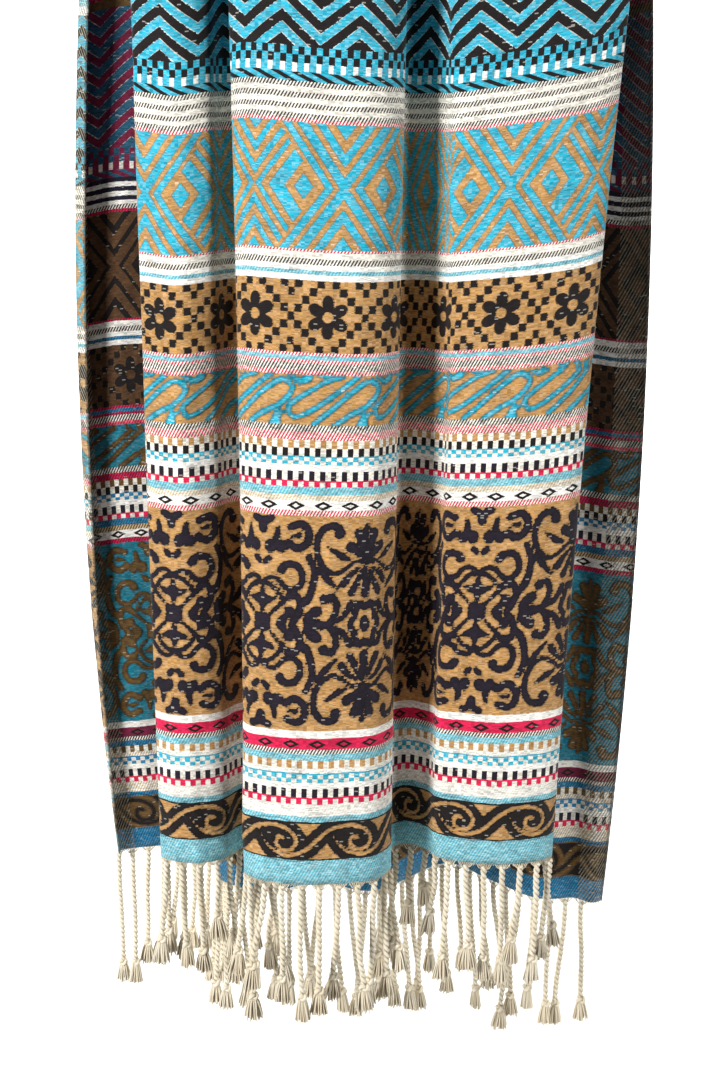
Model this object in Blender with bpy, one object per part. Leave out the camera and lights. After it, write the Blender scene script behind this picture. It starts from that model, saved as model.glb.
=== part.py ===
"""Fringed scarf, hung folded in half over a rail that is not part of it.

One long rectangle of cloth is cut into three stretches that show: the front fall, the bend over the
rail and the longer back fall. Each fall gathers into deep upright folds and ends in a row of knotted
fringe strands. Metres, +Z up, front towards -Y. The origin is the inside of the bend at its middle,
which is where the scarf is held.
"""

import math
import random

import bpy
import bmesh
import numpy as np

# Cloth
CLOTH_WIDTH = 0.700
WALL = 0.0015
SEAM_GAP = 0.0003
BEND_RADIUS = 0.025
BEND_FLARE = 0.10
BEND_DEPTH = 0.62

# Heights, measured from the inside of the bend
FRONT_HEM_Z = -0.898
BACK_HEM_Z = -0.957
BACK_HEM_SLANT = 0.036

# Mesh rows and columns
COLUMNS = 64
FRONT_ROWS = 12
BEND_ROWS = 8
BACK_ROWS = 12
POINTS_PER_KNOT = 14
DEEPEST_FOLD_SCALE = 4.0
DEPTH_HALVINGS = 40

# Fringe
STRAND_COUNT = 39
STRAND_PITCH = 0.0175
STRAND_WIDTH = 0.0044
STRIP_DEPTH = 0.0040
STRIP_THICKNESS = 0.0022
KNOT_WIDTH = 0.0085
TUFT_LENGTH = 0.020
TUFT_WIDTH = 0.0120
TUFT_THICKNESS = 0.0070
TUFT_NECK_WIDTH = 0.0053
ROOT_SHARE = 0.06
KNOT_HALF_SHARE = 0.06
NECK_SHARE = 0.05
STRAND_CLEARANCE = 0.0165
SMALLEST_DISTANCE = 1e-6
NUDGE_ROUNDS = 60
FRONT_STRAND_LENGTH = 0.112
BACK_STRAND_LENGTH = 0.130
FRONT_SEED = 11
BACK_SEED = 23
LENGTH_SPREAD = 0.018
LEAN_SPREAD = 0.012

# Finish
FRONT_COLOUR = (0.36, 0.55, 0.62)
BEND_COLOUR = (0.30, 0.45, 0.50)
BACK_COLOUR = (0.24, 0.20, 0.28)
YARN_COLOUR = (0.79, 0.72, 0.58)
CLOTH_ROUGHNESS = 0.85
YARN_ROUGHNESS = 0.90

# Each row is a place across the cloth, from its left selvedge to its right one: where it stands in x
# at the bend, halfway down and at the hem, and how far out from the rail's side it hangs at the bend
# and at the hem.
FRONT_FOLDS = [
    # name,                x_top,  x_mid,  x_hem, out_top, out_hem
    ("left selvedge",     -0.165, -0.158, -0.150, 0.000, 0.000),
    ("left edge",         -0.199, -0.196, -0.191, 0.038, 0.036),
    ("left crest",        -0.162, -0.160, -0.157, 0.062, 0.057),
    ("left shoulder",     -0.136, -0.134, -0.132, 0.050, 0.045),
    ("left return",       -0.121, -0.118, -0.115, 0.014, 0.013),
    ("first valley",      -0.090, -0.088, -0.086, 0.000, 0.000),
    ("centre flank",      -0.094, -0.091, -0.090, 0.045, 0.045),
    ("centre left edge",  -0.113, -0.107, -0.108, 0.082, 0.081),
    ("centre left crest", -0.080, -0.077, -0.076, 0.112, 0.110),
    ("centre crest",      -0.018, -0.020, -0.022, 0.116, 0.112),
    ("centre shoulder",    0.020,  0.014,  0.010, 0.108, 0.103),
    ("centre right edge",  0.041,  0.033,  0.028, 0.074, 0.070),
    ("centre return",      0.037,  0.030,  0.026, 0.022, 0.021),
    ("second valley",      0.056,  0.050,  0.044, 0.000, 0.000),
    ("right foot",         0.075,  0.074,  0.066, 0.022, 0.018),
    ("right shelf",        0.086,  0.085,  0.078, 0.050, 0.042),
    ("right crest",        0.158,  0.142,  0.128, 0.064, 0.060),
    ("right shoulder",     0.218,  0.191,  0.170, 0.054, 0.050),
    ("right edge",         0.243,  0.208,  0.185, 0.030, 0.030),
    ("right selvedge",     0.216,  0.182,  0.160, 0.000, 0.000),
]
BACK_FOLDS = [
    # name,                x_top,  x_mid,  x_hem, out_top, out_hem
    ("left selvedge",     -0.252, -0.272, -0.258, 0.048, 0.066),
    ("left edge",         -0.263, -0.282, -0.260, 0.064, 0.076),
    ("left side",         -0.238, -0.248, -0.220, 0.090, 0.098),
    ("first crest",       -0.175, -0.180, -0.172, 0.112, 0.116),
    ("first return",      -0.130, -0.138, -0.147, 0.060, 0.075),
    ("centre fold edge",  -0.113, -0.126, -0.146, 0.022, 0.024),
    ("centre near",       -0.082, -0.090, -0.098, 0.000, 0.000),
    ("centre slope",      -0.048, -0.040, -0.040, 0.040, 0.030),
    ("centre dip",        -0.020,  0.000,  0.010, 0.072, 0.014),
    ("second crest",       0.022,  0.060,  0.098, 0.108, 0.104),
    ("second return",      0.070,  0.110,  0.140, 0.056, 0.066),
    ("right near",         0.116,  0.155,  0.188, 0.004, 0.024),
    ("right side",         0.192,  0.215,  0.226, 0.072, 0.030),
    ("right turn",         0.246,  0.254,  0.242, 0.052, 0.020),
    ("right selvedge",     0.270,  0.279,  0.254, 0.022, 0.028),
]

# Strands that stand out in each fringe, by number from the left selvedge: (sideways lean, length)
FRONT_STRANDS = {
    3: (-0.006, 0.100), 4: (0.006, 0.105), 5: (-0.002, 0.114), 6: (0.002, 0.072), 7: (0.006, 0.122),
    15: (0.002, 0.138), 16: (-0.013, 0.098), 17: (0.000, 0.113), 18: (0.003, 0.125), 19: (-0.003, 0.122),
    20: (-0.006, 0.117), 21: (0.006, 0.120), 22: (-0.004, 0.124), 23: (0.002, 0.119), 24: (0.007, 0.098),
    28: (-0.003, 0.085), 29: (-0.002, 0.061), 30: (-0.004, 0.081), 31: (-0.006, 0.114), 32: (0.011, 0.100),
    34: (-0.002, 0.120), 35: (-0.012, 0.092), 36: (-0.004, 0.117), 37: (-0.006, 0.107),
}
BACK_STRANDS = {
    0: (0.003, 0.152), 1: (0.004, 0.148), 11: (-0.005, 0.138), 12: (-0.003, 0.133), 30: (0.010, 0.157),
    34: (-0.016, 0.153), 36: (0.000, 0.137), 38: (0.004, 0.137),
}


def smooth_curve(points):
    """Points on a smooth curve through the given ones, with tangents from each one's neighbours."""
    points = np.array(points, dtype=float)
    steps = np.sqrt(np.linalg.norm(np.diff(points, axis=0), axis=1))
    knots = np.concatenate([[0.0], np.cumsum(steps)])
    tangents = np.gradient(points, knots, axis=0)
    fine = np.linspace(0.0, knots[-1], POINTS_PER_KNOT * len(points))
    span = np.clip(np.searchsorted(knots, fine, side="right") - 1, 0, len(points) - 2)
    width = (knots[span + 1] - knots[span])[:, None]
    t = (fine - knots[span])[:, None] / width
    start = (2 * t**3 - 3 * t**2 + 1) * points[span] + (t**3 - 2 * t**2 + t) * width * tangents[span]
    end = (3 * t**2 - 2 * t**3) * points[span + 1] + (t**3 - t**2) * width * tangents[span + 1]
    return start + end


def arc_lengths(curve):
    """Length along a curve from its first point to each of its points."""
    steps = np.linalg.norm(np.diff(curve, axis=0), axis=1)
    return np.concatenate([[0.0], np.cumsum(steps)])


def fit_to_width(curve):
    """Scale the fold depths until the curve is as long as the cloth is wide."""
    shallow = 0.0
    deep = DEEPEST_FOLD_SCALE
    for _ in range(DEPTH_HALVINGS):
        middle = (shallow + deep) / 2
        if arc_lengths(curve * (1.0, middle))[-1] < CLOTH_WIDTH:
            shallow = middle
        else:
            deep = middle
    return curve * (1.0, shallow)


def even_points(curve, across):
    """Places at the given distances across the cloth, from its left selvedge."""
    lengths = arc_lengths(curve)
    places = np.asarray(across) * lengths[-1] / CLOTH_WIDTH
    return np.column_stack([np.interp(places, lengths, curve[:, axis]) for axis in (0, 1)])


def between(top, middle, hem, drop):
    """A value on the parabola through its values at the bend, halfway down and at the hem."""
    return top * (1 - drop) * (1 - 2 * drop) + middle * 4 * drop * (1 - drop) + hem * drop * (2 * drop - 1)


def fall_section(folds, drop, across):
    """The (x, out) places of one row of a fall; drop is 0 at the bend and 1 at the hem."""
    knots = [(between(x_top, x_mid, x_hem, drop), out_top + (out_hem - out_top) * drop)
             for _, x_top, x_mid, x_hem, out_top, out_hem in folds]
    return even_points(fit_to_width(smooth_curve(knots)), across)


def front_row(drop, across):
    """One row of the front fall, as points in space."""
    section = fall_section(FRONT_FOLDS, drop, across)
    z = np.full(len(section), -BEND_RADIUS + (FRONT_HEM_Z + BEND_RADIUS) * drop)
    return np.column_stack([section[:, 0], -BEND_RADIUS - section[:, 1], z])


def back_row(drop, across):
    """One row of the back fall, as points in space."""
    section = fall_section(BACK_FOLDS, drop, across)
    slant = BACK_HEM_SLANT * np.asarray(across) / CLOTH_WIDTH
    z = -BEND_RADIUS + (BACK_HEM_Z - slant + BEND_RADIUS) * drop
    return np.column_stack([section[:, 0], BEND_RADIUS + section[:, 1], z])


def bend_row(turn, across):
    """One row of the bend; turn is 0 where the front fall ends and 1 where the back fall begins."""
    front = fall_section(FRONT_FOLDS, 0.0, across)
    back = fall_section(BACK_FOLDS, 0.0, across)
    blend = turn * turn * (3 - 2 * turn)
    lift = math.sin(math.pi * turn)
    section = front + (back - front) * blend
    section[:, 0] *= 1 + BEND_FLARE * lift
    section[:, 1] *= 1 - (1 - BEND_DEPTH) * lift
    radius = BEND_RADIUS + section[:, 1]
    angle = math.pi * turn
    return np.column_stack([
        section[:, 0],
        -radius * math.cos(angle),
        -BEND_RADIUS + radius * math.sin(angle),
    ])


def row_grid(row, start, end, rows, across):
    """A grid of points, rows down and columns across, between two places along the cloth."""
    return np.array([row(t, across) for t in np.linspace(start, end, rows + 1)])


def outward_normals(grid):
    """Unit normals of a grid, level along its first and last rows, where the cloth hangs upright."""
    lengthwise = np.gradient(grid, axis=0)
    lengthwise[0, :, :2] = 0.0
    lengthwise[-1, :, :2] = 0.0
    normals = np.cross(np.gradient(grid, axis=1), lengthwise)
    return normals / np.linalg.norm(normals, axis=2)[:, :, None]


def make_object(name, mesh_builder, colour, roughness):
    """Turn a bmesh into a named object with a material of its own."""
    mesh = bpy.data.meshes.new(name)
    mesh_builder.to_mesh(mesh)
    mesh_builder.free()
    material = bpy.data.materials.new(name)
    material.use_nodes = True
    shader = material.node_tree.nodes["Principled BSDF"]
    shader.inputs["Base Color"].default_value = (*colour, 1.0)
    shader.inputs["Roughness"].default_value = roughness
    mesh.materials.append(material)
    mesh.shade_smooth()
    part = bpy.data.objects.new(name, mesh)
    bpy.context.scene.collection.objects.link(part)
    return part


def add_grid(builder, points):
    """Vertices and faces of one side of a wall."""
    vertices = [[builder.verts.new(p) for p in row] for row in points]
    for upper, lower in zip(vertices, vertices[1:]):
        for i in range(len(upper) - 1):
            builder.faces.new((upper[i], upper[i + 1], lower[i + 1], lower[i]))
    return vertices


def close_wall(builder, outer, inner):
    """Join the two sides of a wall all round its border."""
    def border(side):
        right = [row[-1] for row in side[1:-1]]
        left = [row[0] for row in side[1:-1]]
        return side[0] + right + side[-1][::-1] + left[::-1]

    rim_outer = border(outer)
    rim_inner = border(inner)
    for i in range(len(rim_outer)):
        j = (i + 1) % len(rim_outer)
        builder.faces.new((rim_outer[i], rim_outer[j], rim_inner[j], rim_inner[i]))


def cloth_wall(grid, thickness):
    """A closed wall of the given thickness about a grid of points."""
    builder = bmesh.new()
    offset = outward_normals(grid) * (thickness / 2)
    outer = add_grid(builder, grid + offset)
    inner = add_grid(builder, grid - offset)
    close_wall(builder, outer, inner)
    bmesh.ops.recalc_face_normals(builder, faces=builder.faces)
    return builder


def strand_plans(row, usual_length, seed, special):
    """Root and tip of each fringe strand along a hem, with the tips kept clear of each other."""
    dice = random.Random(seed)
    roots = row(1.0, (np.arange(STRAND_COUNT) + 0.5) * STRAND_PITCH)
    tips = []
    for i in range(STRAND_COUNT):
        length = usual_length + dice.uniform(-1, 1) * LENGTH_SPREAD
        lean_x = dice.uniform(-1, 1) * LEAN_SPREAD
        lean_y = dice.uniform(-1, 1) * LEAN_SPREAD
        if i in special:
            lean_x, length = special[i]
        tips.append([roots[i][0] + lean_x, roots[i][1] + lean_y, roots[i][2] - length])
    tips = np.array(tips)
    for _ in range(NUDGE_ROUNDS):
        for i in range(STRAND_COUNT):
            for j in range(i):
                apart = tips[i, :2] - tips[j, :2]
                distance = max(np.linalg.norm(apart), SMALLEST_DISTANCE)
                if distance < STRAND_CLEARANCE:
                    push = apart / distance * (STRAND_CLEARANCE - distance) / 2
                    tips[i, :2] += push
                    tips[j, :2] -= push
    return roots, tips


def add_ring(builder, centre, side, width, thickness):
    """Four corners of a strand's section; side is the direction along the hem."""
    along = np.array([side[0], side[1], 0.0]) * width / 2
    through = np.array([-side[1], side[0], 0.0]) * thickness / 2
    corners = (along + through, along - through, -along - through, -along + through)
    return [builder.verts.new(centre + corner) for corner in corners]


def hang_strand(builder, root_ring, root, tip, side):
    """Extrude one strand from its cell of the backing strip down to a knot and a frayed tuft."""
    knot_share = 1 - TUFT_LENGTH / (root[2] - tip[2])
    stations = [
        (ROOT_SHARE, STRAND_WIDTH, STRAND_WIDTH),
        (knot_share - KNOT_HALF_SHARE, STRAND_WIDTH, STRAND_WIDTH),
        (knot_share, KNOT_WIDTH, KNOT_WIDTH),
        (knot_share + NECK_SHARE, TUFT_NECK_WIDTH, TUFT_NECK_WIDTH),
        (1.0, TUFT_WIDTH, TUFT_THICKNESS),
    ]
    last = root_ring
    for share, width, thickness in stations:
        sway = share * share * (3 - 2 * share)
        centre = np.array([
            root[0] + (tip[0] - root[0]) * sway,
            root[1] + (tip[1] - root[1]) * sway,
            root[2] - STRIP_DEPTH + (tip[2] - root[2] + STRIP_DEPTH) * share,
        ])
        ring = add_ring(builder, centre, side, width, thickness)
        for i in range(4):
            j = (i + 1) % 4
            builder.faces.new((last[i], last[j], ring[j], ring[i]))
        last = ring
    builder.faces.new(last)


def fringe(row, usual_length, seed, special):
    """A narrow backing strip along a hem with its strands, as one closed solid."""
    roots, tips = strand_plans(row, usual_length, seed, special)
    half = STRAND_WIDTH / 2
    edges = [WALL]
    for i in range(len(roots)):
        middle = (i + 0.5) * STRAND_PITCH
        edges += [middle - half, middle + half]
    edges.append(CLOTH_WIDTH - WALL)
    hem = row(1.0, np.array(edges))
    level = np.gradient(hem[:, :2], axis=0)
    level /= np.linalg.norm(level, axis=1)[:, None]
    through = np.column_stack([-level[:, 1], level[:, 0], np.zeros(len(hem))]) * (STRIP_THICKNESS / 2)
    top = hem - (0.0, 0.0, SEAM_GAP)
    bottom = hem - (0.0, 0.0, SEAM_GAP + STRIP_DEPTH)
    builder = bmesh.new()
    corners = [[builder.verts.new(p) for p in side]
               for side in (top + through, top - through, bottom - through, bottom + through)]
    for i in range(len(edges) - 1):
        for k in range(4):
            m = (k + 1) % 4
            is_strand_root = k == 2 and i % 2 == 1
            if not is_strand_root:
                builder.faces.new((corners[k][i], corners[k][i + 1], corners[m][i + 1], corners[m][i]))
    for end in (0, -1):
        builder.faces.new([corners[k][end] for k in range(4)])
    for i, (root, tip) in enumerate(zip(roots, tips)):
        a = 2 * i + 1
        b = a + 1
        root_ring = [corners[3][b], corners[2][b], corners[2][a], corners[3][a]]
        side = (level[a] + level[b]) / 2
        hang_strand(builder, root_ring, root, tip, side / np.linalg.norm(side))
    bmesh.ops.recalc_face_normals(builder, faces=builder.faces)
    return builder


def clear_scene():
    """Remove what the scene holds already."""
    for old in list(bpy.data.objects):
        bpy.data.objects.remove(old, do_unlink=True)


def main():
    clear_scene()
    across = np.linspace(0.0, CLOTH_WIDTH, COLUMNS + 1)

    seam = SEAM_GAP / 2 / (-BEND_RADIUS - FRONT_HEM_Z)
    upwards = row_grid(front_row, seam, 1.0, FRONT_ROWS, across)[::-1]
    make_object("front_fall", cloth_wall(upwards, WALL), FRONT_COLOUR, CLOTH_ROUGHNESS)

    seam = SEAM_GAP / 2 / (math.pi * BEND_RADIUS)
    over = row_grid(bend_row, seam, 1.0 - seam, BEND_ROWS, across)
    make_object("top_bend", cloth_wall(over, WALL), BEND_COLOUR, CLOTH_ROUGHNESS)

    seam = SEAM_GAP / 2 / (-BEND_RADIUS - BACK_HEM_Z)
    downwards = row_grid(back_row, seam, 1.0, BACK_ROWS, across)
    make_object("back_fall", cloth_wall(downwards, WALL), BACK_COLOUR, CLOTH_ROUGHNESS)

    front = fringe(front_row, FRONT_STRAND_LENGTH, FRONT_SEED, FRONT_STRANDS)
    make_object("front_fringe", front, YARN_COLOUR, YARN_ROUGHNESS)
    back = fringe(back_row, BACK_STRAND_LENGTH, BACK_SEED, BACK_STRANDS)
    make_object("back_fringe", back, YARN_COLOUR, YARN_ROUGHNESS)


main()
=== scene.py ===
"""A long jacquard-woven scarf, folded in half over a rail that is not shown, with a fringe at both hems.

The cloth is one thin wall in three stretches, woven with the same bands on both sides of the bend.
Places on the cloth are given as u, metres from its left selvedge, and v, metres from its nearest hem.
"""

import math
import random

import bpy
import bmesh
import numpy as np
from mathutils import Matrix, Vector


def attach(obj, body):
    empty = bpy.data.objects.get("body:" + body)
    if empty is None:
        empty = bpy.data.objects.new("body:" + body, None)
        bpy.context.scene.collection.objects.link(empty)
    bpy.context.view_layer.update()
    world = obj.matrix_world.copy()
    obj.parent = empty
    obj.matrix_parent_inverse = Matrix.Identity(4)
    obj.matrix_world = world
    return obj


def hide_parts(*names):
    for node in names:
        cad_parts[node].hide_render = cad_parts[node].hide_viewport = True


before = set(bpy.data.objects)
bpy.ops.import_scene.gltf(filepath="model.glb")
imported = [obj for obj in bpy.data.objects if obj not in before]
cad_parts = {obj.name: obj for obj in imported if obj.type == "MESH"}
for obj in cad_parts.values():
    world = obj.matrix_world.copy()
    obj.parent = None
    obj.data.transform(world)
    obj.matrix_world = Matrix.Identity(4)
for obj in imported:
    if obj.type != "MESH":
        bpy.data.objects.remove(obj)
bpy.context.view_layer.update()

# Cloth, as it is cut and hung
CLOTH_WIDTH = 0.700
WALL = 0.0015
SEAM_GAP = 0.0003
BEND_RADIUS = 0.025
BEND_FLARE = 0.10
BEND_DEPTH = 0.62
FRONT_HEM_Z = -0.898
BACK_HEM_Z = -0.957
BACK_HEM_SLANT = 0.036
FRONT_LENGTH = 0.873
BACK_LENGTH = 0.950
RISE_FADE = 1.3
RISE_SMOOTHING = 61
POINTS_PER_KNOT = 24
RISE_POINTS_PER_COLUMN = 4
COLUMNS = 228
COARSE_ROW = 0.0085
FINE_ROW = 0.0022
BEND_ROWS = 60
FINE_BANDS = [(0.0235, 0.0604), (0.146, 0.341), (0.4205, 0.4639)]
DEEPEST_FOLD_SCALE = 4.0
DEPTH_HALVINGS = 30
# A crease starts at this share of its height and rises by its length's shares times the taper.
CREASE_END = 0.35
CREASE_TAPER = 4
BEND_CREASE_FADE = 3

# Fringe: cords of two plies, each with a knot and a tuft. A pair of numbers is the range of a random draw.
STRAND_COUNT = 39
STRAND_PITCH = 0.0175
SMALLEST_DISTANCE = 1e-6
TWIST_PITCH = 0.0115
TWIST_STEPS = 7
PLY_OFFSET = 0.00150
PLY_RADIUS = 0.00175
CORD_DROP = 0.0030
SWAY_BENDS = 2
SWAY_REACH = (0.0004, 0.0014)
SWAY_WAVES = (0.6, 1.6)
FULL_TURN = 6.28
HALF_TURN = 3.14
KNOT_TURN = 2.1
KNOT_SIZES = (0.9, 1.1)
KNOT_POINTS = 22
KNOT_SIZE = 0.00125
KNOT_YARN_RADIUS = 0.0021
TUFT_LENGTH = 0.020
TUFT_LAP = 0.002
TUFT_FIBRES = 52
TUFT_POINTS = 5
TUFT_NECK = 0.0030
TUFT_SPREAD = (0.0035, 0.0065)
TUFT_BELL = 0.65
TUFT_FLATNESS = 0.85
FIBRE_RADIUS = 0.0010
FIBRE_TAPER = 0.3
FIBRE_SHARES = (0.82, 1.0)
FIBRE_CURL = 0.3
FIBRE_JITTER = 0.04
GOLDEN = 0.618
WARPS_PER_CORD = 8
WARP_SPREAD = 0.0080
WARP_RADIUS = 0.00055
WARP_ROOT = (0, 0, 0.0012)
WARP_SAG = (0.0005, 0.0025)
WARP_MIDDLE = 0.6
FRAY_ENDS = 420
FRAY_RADII = [0.00045, 0.00045, 0.00045 * 0.4]
FRAY_ROOT = (0, 0, 0.0006)
FRAY_LENGTHS = (0.0012, 0.0040)
# How far a stray end leans at most, in x and in y, and the shares of its lean and length at its middle
FRAY_LEAN = (0.0018, 0.0012)
FRAY_MIDDLE = (0.4, 0.6)
STRAND_CLEARANCE = 0.0165
NUDGE_ROUNDS = 60
FRONT_STRAND_LENGTH = 0.112
BACK_STRAND_LENGTH = 0.130
FRONT_SEED = 11
BACK_SEED = 23
LENGTH_SPREAD = 0.018
LEAN_SPREAD = 0.012

# Studio
FLOOR_HALF_SIZE = 3.0
FLOOR_MIDDLE_Y = 2.6
FLOOR_Z = -1.32
BACKDROP_Y = 3.0
BACKDROP_GLOW = 1.05
WORLD_STRENGTH = 0.04
CAMERA_PLACE = (0.0, -1.3118, -0.3681)
CAMERA_TILT = 80.0
CAMERA_LENS_MM = 46.0
CAMERA_SENSOR_MM = 36.0
SOFT_LIGHTS = [
    # name, place, aim, (width, height), watts
    ("key", (-1.7, -2.1, 0.3), (0.0, 0.0, -0.5), (0.5, 0.9), 100),
    ("right", (2.3, -1.3, 0.1), (0.1, 0.0, -0.5), (0.6, 0.9), 34),
    ("front", (-0.6, -2.6, 0.3), (0.0, 0.0, -0.5), (0.5, 0.5), 3),
    ("behind", (0.9, 2.6, 0.4), (0.0, 0.0, -0.5), (1.2, 0.9), 42),
    ("floor", (0.0, 1.9, 0.6), (0.0, 2.0, -1.3), (3.6, 2.4), 95),
]

# A place across the cloth in each row: where it stands in x at the bend, halfway down and at the
# hem, how far out from the rail's side it hangs at the bend and at the hem, and how much higher than
# level the woven bands stand there near the bend.
FRONT_FOLDS = [
    # name,                x_top,  x_mid,  x_hem, out_top, out_hem,  rise
    ("left selvedge",     -0.165, -0.158, -0.150, 0.000, 0.000,  0.004),
    ("left edge",         -0.199, -0.196, -0.191, 0.038, 0.036,  0.000),
    ("left crest",        -0.162, -0.160, -0.157, 0.062, 0.057, -0.010),
    ("left shoulder",     -0.136, -0.134, -0.132, 0.050, 0.045, -0.002),
    ("left return",       -0.121, -0.118, -0.115, 0.014, 0.013,  0.004),
    ("first valley",      -0.090, -0.088, -0.086, 0.000, 0.000,  0.006),
    ("centre flank",      -0.094, -0.091, -0.090, 0.045, 0.045,  0.006),
    ("centre left edge",  -0.113, -0.107, -0.108, 0.082, 0.081,  0.008),
    ("centre left crest", -0.080, -0.077, -0.076, 0.112, 0.110,  0.002),
    ("centre crest",      -0.018, -0.020, -0.022, 0.116, 0.112, -0.004),
    ("centre shoulder",    0.020,  0.014,  0.010, 0.108, 0.103, -0.004),
    ("centre right edge",  0.041,  0.033,  0.028, 0.074, 0.070,  0.000),
    ("centre return",      0.037,  0.030,  0.026, 0.022, 0.021,  0.002),
    ("second valley",      0.056,  0.050,  0.044, 0.000, 0.000,  0.002),
    ("right foot",         0.075,  0.074,  0.066, 0.022, 0.018, -0.004),
    ("right shelf",        0.086,  0.085,  0.078, 0.050, 0.042,  0.000),
    ("right crest",        0.158,  0.142,  0.128, 0.064, 0.060,  0.008),
    ("right shoulder",     0.218,  0.191,  0.170, 0.054, 0.050,  0.020),
    ("right edge",         0.243,  0.208,  0.185, 0.030, 0.030,  0.034),
    ("right selvedge",     0.216,  0.182,  0.160, 0.000, 0.000,  0.040),
]
BACK_FOLDS = [
    # name,                x_top,  x_mid,  x_hem, out_top, out_hem,  rise
    ("left selvedge",     -0.252, -0.272, -0.258, 0.048, 0.066,  0.000),
    ("left edge",         -0.263, -0.282, -0.260, 0.064, 0.076,  0.002),
    ("left side",         -0.238, -0.248, -0.220, 0.090, 0.098,  0.018),
    ("first crest",       -0.175, -0.180, -0.172, 0.112, 0.116,  0.024),
    ("first return",      -0.130, -0.138, -0.147, 0.060, 0.075,  0.020),
    ("centre fold edge",  -0.113, -0.126, -0.146, 0.022, 0.024,  0.010),
    ("centre near",       -0.082, -0.090, -0.098, 0.000, 0.000,  0.005),
    ("centre slope",      -0.048, -0.040, -0.040, 0.040, 0.030,  0.008),
    ("centre dip",        -0.020,  0.000,  0.010, 0.072, 0.014,  0.012),
    ("second crest",       0.022,  0.060,  0.098, 0.108, 0.104,  0.020),
    ("second return",      0.070,  0.110,  0.140, 0.056, 0.066,  0.010),
    ("right near",         0.116,  0.155,  0.188, 0.004, 0.024,  0.000),
    ("right side",         0.192,  0.215,  0.226, 0.072, 0.030,  0.012),
    ("right turn",         0.246,  0.254,  0.242, 0.052, 0.020,  0.002),
    ("right selvedge",     0.270,  0.279,  0.254, 0.022, 0.028,  0.004),
]

# Strands that stand out in each fringe, by number from the left selvedge: (sideways lean, length)
FRONT_STRANDS = {
    3: (-0.006, 0.100), 4: (0.006, 0.105), 5: (-0.002, 0.114), 6: (0.002, 0.072), 7: (0.006, 0.122),
    15: (0.002, 0.138), 16: (-0.013, 0.098), 17: (0.000, 0.113), 18: (0.003, 0.125), 19: (-0.003, 0.122),
    20: (-0.006, 0.117), 21: (0.006, 0.120), 22: (-0.004, 0.124), 23: (0.002, 0.119), 24: (0.007, 0.098),
    28: (-0.003, 0.085), 29: (-0.002, 0.061), 30: (-0.004, 0.081), 31: (-0.006, 0.114), 32: (0.011, 0.100),
    34: (-0.002, 0.120), 35: (-0.012, 0.092), 36: (-0.004, 0.117), 37: (-0.006, 0.107),
}
BACK_STRANDS = {
    0: (0.003, 0.152), 1: (0.004, 0.148), 11: (-0.005, 0.138), 12: (-0.003, 0.133), 30: (0.010, 0.157),
    34: (-0.016, 0.153), 36: (0.000, 0.137), 38: (0.004, 0.137),
}

# Creases and soft ridges of the falls, in millimetres: where each starts and ends on the
# cloth, its half width and its height, which is negative for a trough
FRONT_CREASES = [
    # u_from, v_from, u_to, v_to, half width, height
    (262, 20, 281, 230, 9, 2.2), (300, 0, 305, 150, 7, -1.8), (335, 10, 350, 330, 12, 1.8),
    (372, 0, 366, 120, 7, -1.6), (318, 360, 330, 640, 13, -1.6), (285, 300, 276, 560, 10, 1.4),
    (402, 140, 395, 480, 8, -1.5), (360, 500, 352, 800, 14, 1.7), (300, 620, 296, 860, 10, -1.5),
    (72, 0, 78, 170, 8, 1.9), (102, 10, 96, 260, 7, -1.6), (86, 280, 94, 560, 10, 1.5),
    (60, 420, 64, 700, 9, -1.4), (118, 560, 110, 840, 10, 1.6), (528, 0, 534, 210, 10, 2.4),
    (560, 30, 552, 330, 9, -2), (598, 0, 588, 190, 8, 1.8), (508, 240, 520, 560, 12, -1.7),
    (580, 330, 600, 620, 12, 1.6), (622, 100, 634, 440, 8, -1.5), (546, 560, 556, 850, 13, -1.8),
    (618, 640, 612, 870, 11, 1.5), (190, 60, 196, 420, 7, 1.2), (470, 80, 474, 460, 8, -1.3),
]
BACK_CREASES = [
    # u_from, v_from, u_to, v_to, half width, height
    (18, 60, 24, 420, 7, 1.4), (50, 0, 56, 260, 10, -2), (85, 20, 76, 340, 11, 2),
    (60, 380, 70, 740, 12, -1.7), (110, 300, 104, 620, 10, 1.5), (150, 10, 160, 280, 8, -1.8),
    (210, 60, 204, 440, 9, 1.5), (262, 0, 270, 210, 10, 2.1), (318, 20, 306, 360, 12, -1.9),
    (352, 180, 360, 560, 11, 1.7), (402, 0, 392, 240, 9, 2), (436, 100, 446, 480, 10, -1.8),
    (478, 340, 470, 760, 13, 1.6), (520, 10, 512, 260, 8, -1.6), (556, 60, 566, 420, 9, 1.7),
    (604, 0, 596, 300, 8, -1.9), (640, 100, 650, 520, 9, 1.6), (674, 40, 668, 330, 6, -1.2),
    (300, 520, 312, 880, 13, 1.6), (390, 620, 380, 920, 12, -1.7), (610, 560, 622, 900, 11, 1.5),
]

# Where the weave runs on under a valley, so that a lobe shows it further along than its folds do: for
# each band of large motifs, the slip of the left lobe and of the right one, in metres
SLIPS = [
    # v_from, v_to,  left,   right
    (0.000,   0.100, -0.010, 0.0195),
    (0.100,   0.380,  0.020, 0.0880),
    (0.380,   0.475, -0.015, 0.0120),
    (0.475,   0.560,  0.010, 0.0230),
    (0.560,   0.700, -0.0205, 0.0880),
    (0.700,   1.200,  0.017, 0.0230),
]
LEFT_SLIP_ENDS = (0.150, 0.245)
RIGHT_SLIP_STARTS = (0.415, 0.515)

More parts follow.
